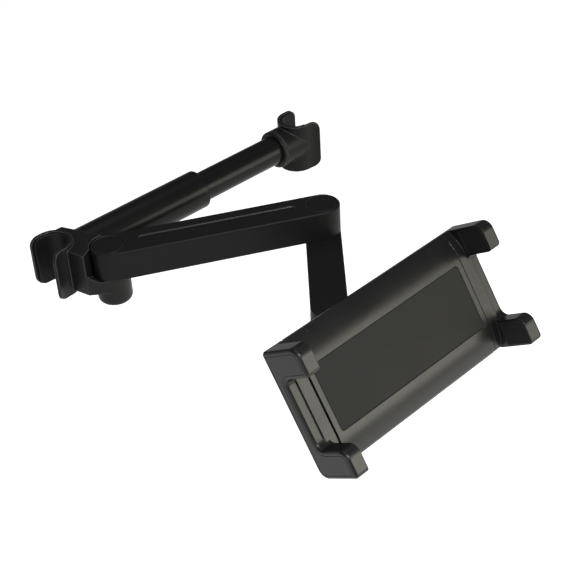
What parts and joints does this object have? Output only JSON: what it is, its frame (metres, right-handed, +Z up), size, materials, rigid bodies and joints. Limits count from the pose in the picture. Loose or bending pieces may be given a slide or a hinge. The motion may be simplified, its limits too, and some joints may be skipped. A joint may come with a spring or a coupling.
{
  "type": "headrest tablet mount",
  "caption": "Car headrest mount for a tablet: a sprung bar hooks on the headrest posts, folding arms and a tilting head carry a cradle with linked sliding jaws.",
  "frame": {"origin": "on the axis of the post held by the fixed hook, near the middle of the hook's height", "axes": "+Z up along the headrest posts, +X along the bar to the sliding hook, -Y toward the passenger who looks at the tablet"},
  "size_m": [0.2147, 0.2457, 0.0869],
  "materials": {
    "black_moulding": "fine satin moulded black",
    "black_rubber": "matt black",
    "pad_rubber": "matt charcoal pad",
    "black_tube": "satin black coating",
    "plated_steel": "zinc plated",
    "spring_steel": "bright spring wire",
    "insert_brass": "plain turned",
    "bearing_plastic": "dark self-lubricating plastic"
  },
  "bodies": {
    "base": {"left_clamp": "black_moulding", "left_hook_liner": "black_rubber", "outer_sleeve": "black_tube", "sleeve_bush": "bearing_plastic", "sleeve_screw": "plated_steel", "bar_spring": "spring_steel", "left_pivot_bolt": "plated_steel", "left_pivot_nut": "plated_steel", "left_friction_washer": "bearing_plastic"},
    "slider": {"inner_tube": "black_tube", "tube_guide": "bearing_plastic", "spring_stop": "black_moulding", "right_clamp": "black_moulding", "right_hook_liner": "black_rubber", "collar_screw": "plated_steel"},
    "arm1": {"arm1_body": "black_moulding", "arm1_cover": "black_moulding", "arm1_cover_screws": "plated_steel", "left_cap": "black_moulding", "right_cap": "black_moulding", "left_head_washer": "plated_steel"},
    "arm2": {"arm2_body": "black_moulding", "right_pivot_bolt": "plated_steel", "right_pivot_nut": "plated_steel", "right_head_washer": "plated_steel", "right_friction_washer": "bearing_plastic", "head_insert": "insert_brass", "head_bolt": "plated_steel"},
    "head": {"swivel_head": "black_moulding", "head_friction_washer": "bearing_plastic", "tilt_bolt": "plated_steel", "tilt_nut": "plated_steel"},
    "knuckle": {"tilt_knuckle": "black_moulding", "spin_friction_ring": "bearing_plastic", "spin_washer": "plated_steel", "spin_screw": "plated_steel"},
    "cradle": {"back_tray": "black_moulding", "tray_screws": "plated_steel", "front_plate": "black_moulding", "plate_pad": "pad_rubber", "return_spring": "spring_steel"},
    "left_grip": {"left_jaw": "black_moulding", "left_grips": "black_rubber"},
    "right_grip": {"right_jaw": "black_moulding", "right_grips": "black_rubber"},
    "gear": {"link_gear": "bearing_plastic"}
  },
  "joints": [
    {"name": "bar_slide", "type": "slide", "parent": "base", "child": "slider", "axis": [1, 0, 0], "range_m": [-0.045, 0], "stiffness_N_per_m": 120, "springref_m": 0.05, "deforming": ["bar_spring"]},
    {"name": "arm1_swivel", "type": "hinge", "parent": "base", "child": "arm1", "pos_m": [0.0227, -0.0243, 0], "axis": [0, 0, 1], "range_deg": [-70, 26.5]},
    {"name": "arm2_swivel", "type": "hinge", "parent": "arm1", "child": "arm2", "pos_m": [0.13944, -0.08429, -0.005], "axis": [0, 0, 1], "range_deg": [-25, 90]},
    {"name": "head_swivel", "type": "hinge", "parent": "arm2", "child": "head", "pos_m": [0.0945, -0.13599, -0.013], "axis": [0, 0, 1], "range_deg": [-30, 45]},
    {"name": "head_tilt", "type": "hinge", "parent": "head", "child": "knuckle", "pos_m": [0.0945, -0.13599, -0.0481], "axis": [0.999, 0.0447, 0], "range_deg": [-10, 60]},
    {"name": "cradle_spin", "type": "hinge", "parent": "knuckle", "child": "cradle", "pos_m": [0.09699, -0.19177, -0.01198], "axis": [0.0375, -0.8388, 0.5432], "continuous": true},
    {"name": "left_jaw_slide", "type": "slide", "parent": "cradle", "child": "left_grip", "axis": [-0.999, -0.0447, 0], "range_m": [0, 0.038], "stiffness_N_per_m": 60, "springref_m": -0.1},
    {"name": "right_jaw_slide", "type": "slide", "parent": "cradle", "child": "right_grip", "axis": [0.999, 0.0447, 0], "range_m": [0, 0.038]},
    {"name": "gear_turn", "type": "hinge", "parent": "cradle", "child": "gear", "pos_m": [0.09652, -0.18119, 0.00439], "axis": [0.0375, -0.8388, 0.5432], "range_deg": [-312, 0]}
  ],
  "couplings": [
    {"joint": "right_jaw_slide", "follows": "left_jaw_slide", "ratio": 1},
    {"joint": "gear_turn", "follows": "left_jaw_slide", "rad_per_m": -142.86}
  ]
}
